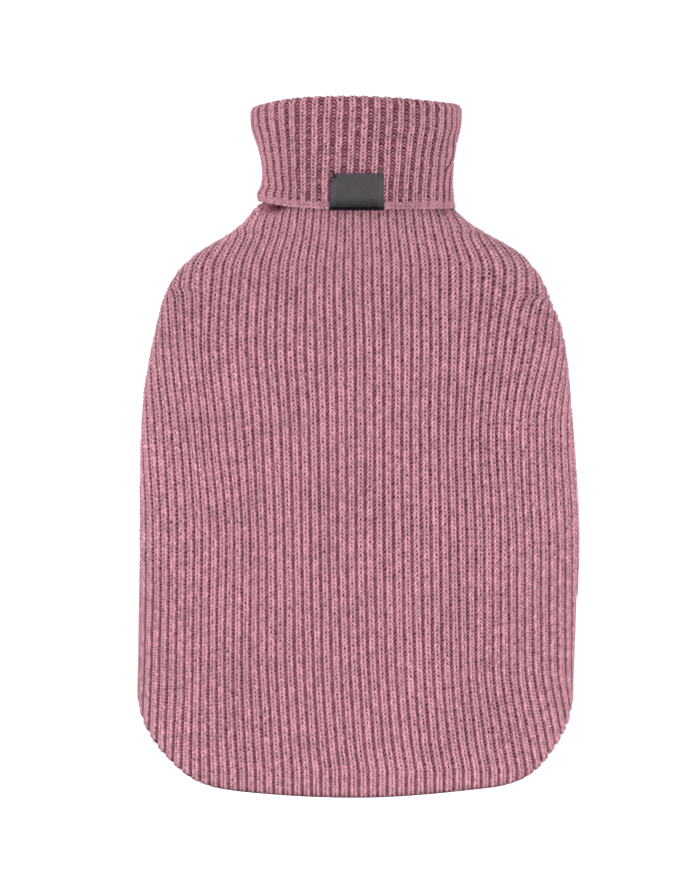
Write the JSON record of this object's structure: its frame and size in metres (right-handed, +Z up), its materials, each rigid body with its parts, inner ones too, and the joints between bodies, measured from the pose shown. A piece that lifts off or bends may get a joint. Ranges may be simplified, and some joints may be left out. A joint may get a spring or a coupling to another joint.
{
  "type": "hot water bottle cover",
  "caption": "Rib-knitted pouch for a hot water bottle, lying on its back, with an open neck, a turned-down collar and a small plain woven tab folded over the collar's hem.",
  "frame": {"origin": "under the middle of the cover, on the surface that it lies on", "axes": "+Y along the cover towards its neck, +Z up out of the surface and through the front, +X to the right seen from above with the neck away from the viewer"},
  "size_m": [0.2107, 0.335, 0.0447],
  "materials": {
    "pink_rib_knit": "matt rib knit, dusty pink",
    "charcoal_woven_tape": "woven satin tape, charcoal"
  },
  "bodies": {
    "root": {"front_panel": "pink_rib_knit", "back_panel": "pink_rib_knit", "woven_label": "charcoal_woven_tape"}
  },
  "joints": []
}
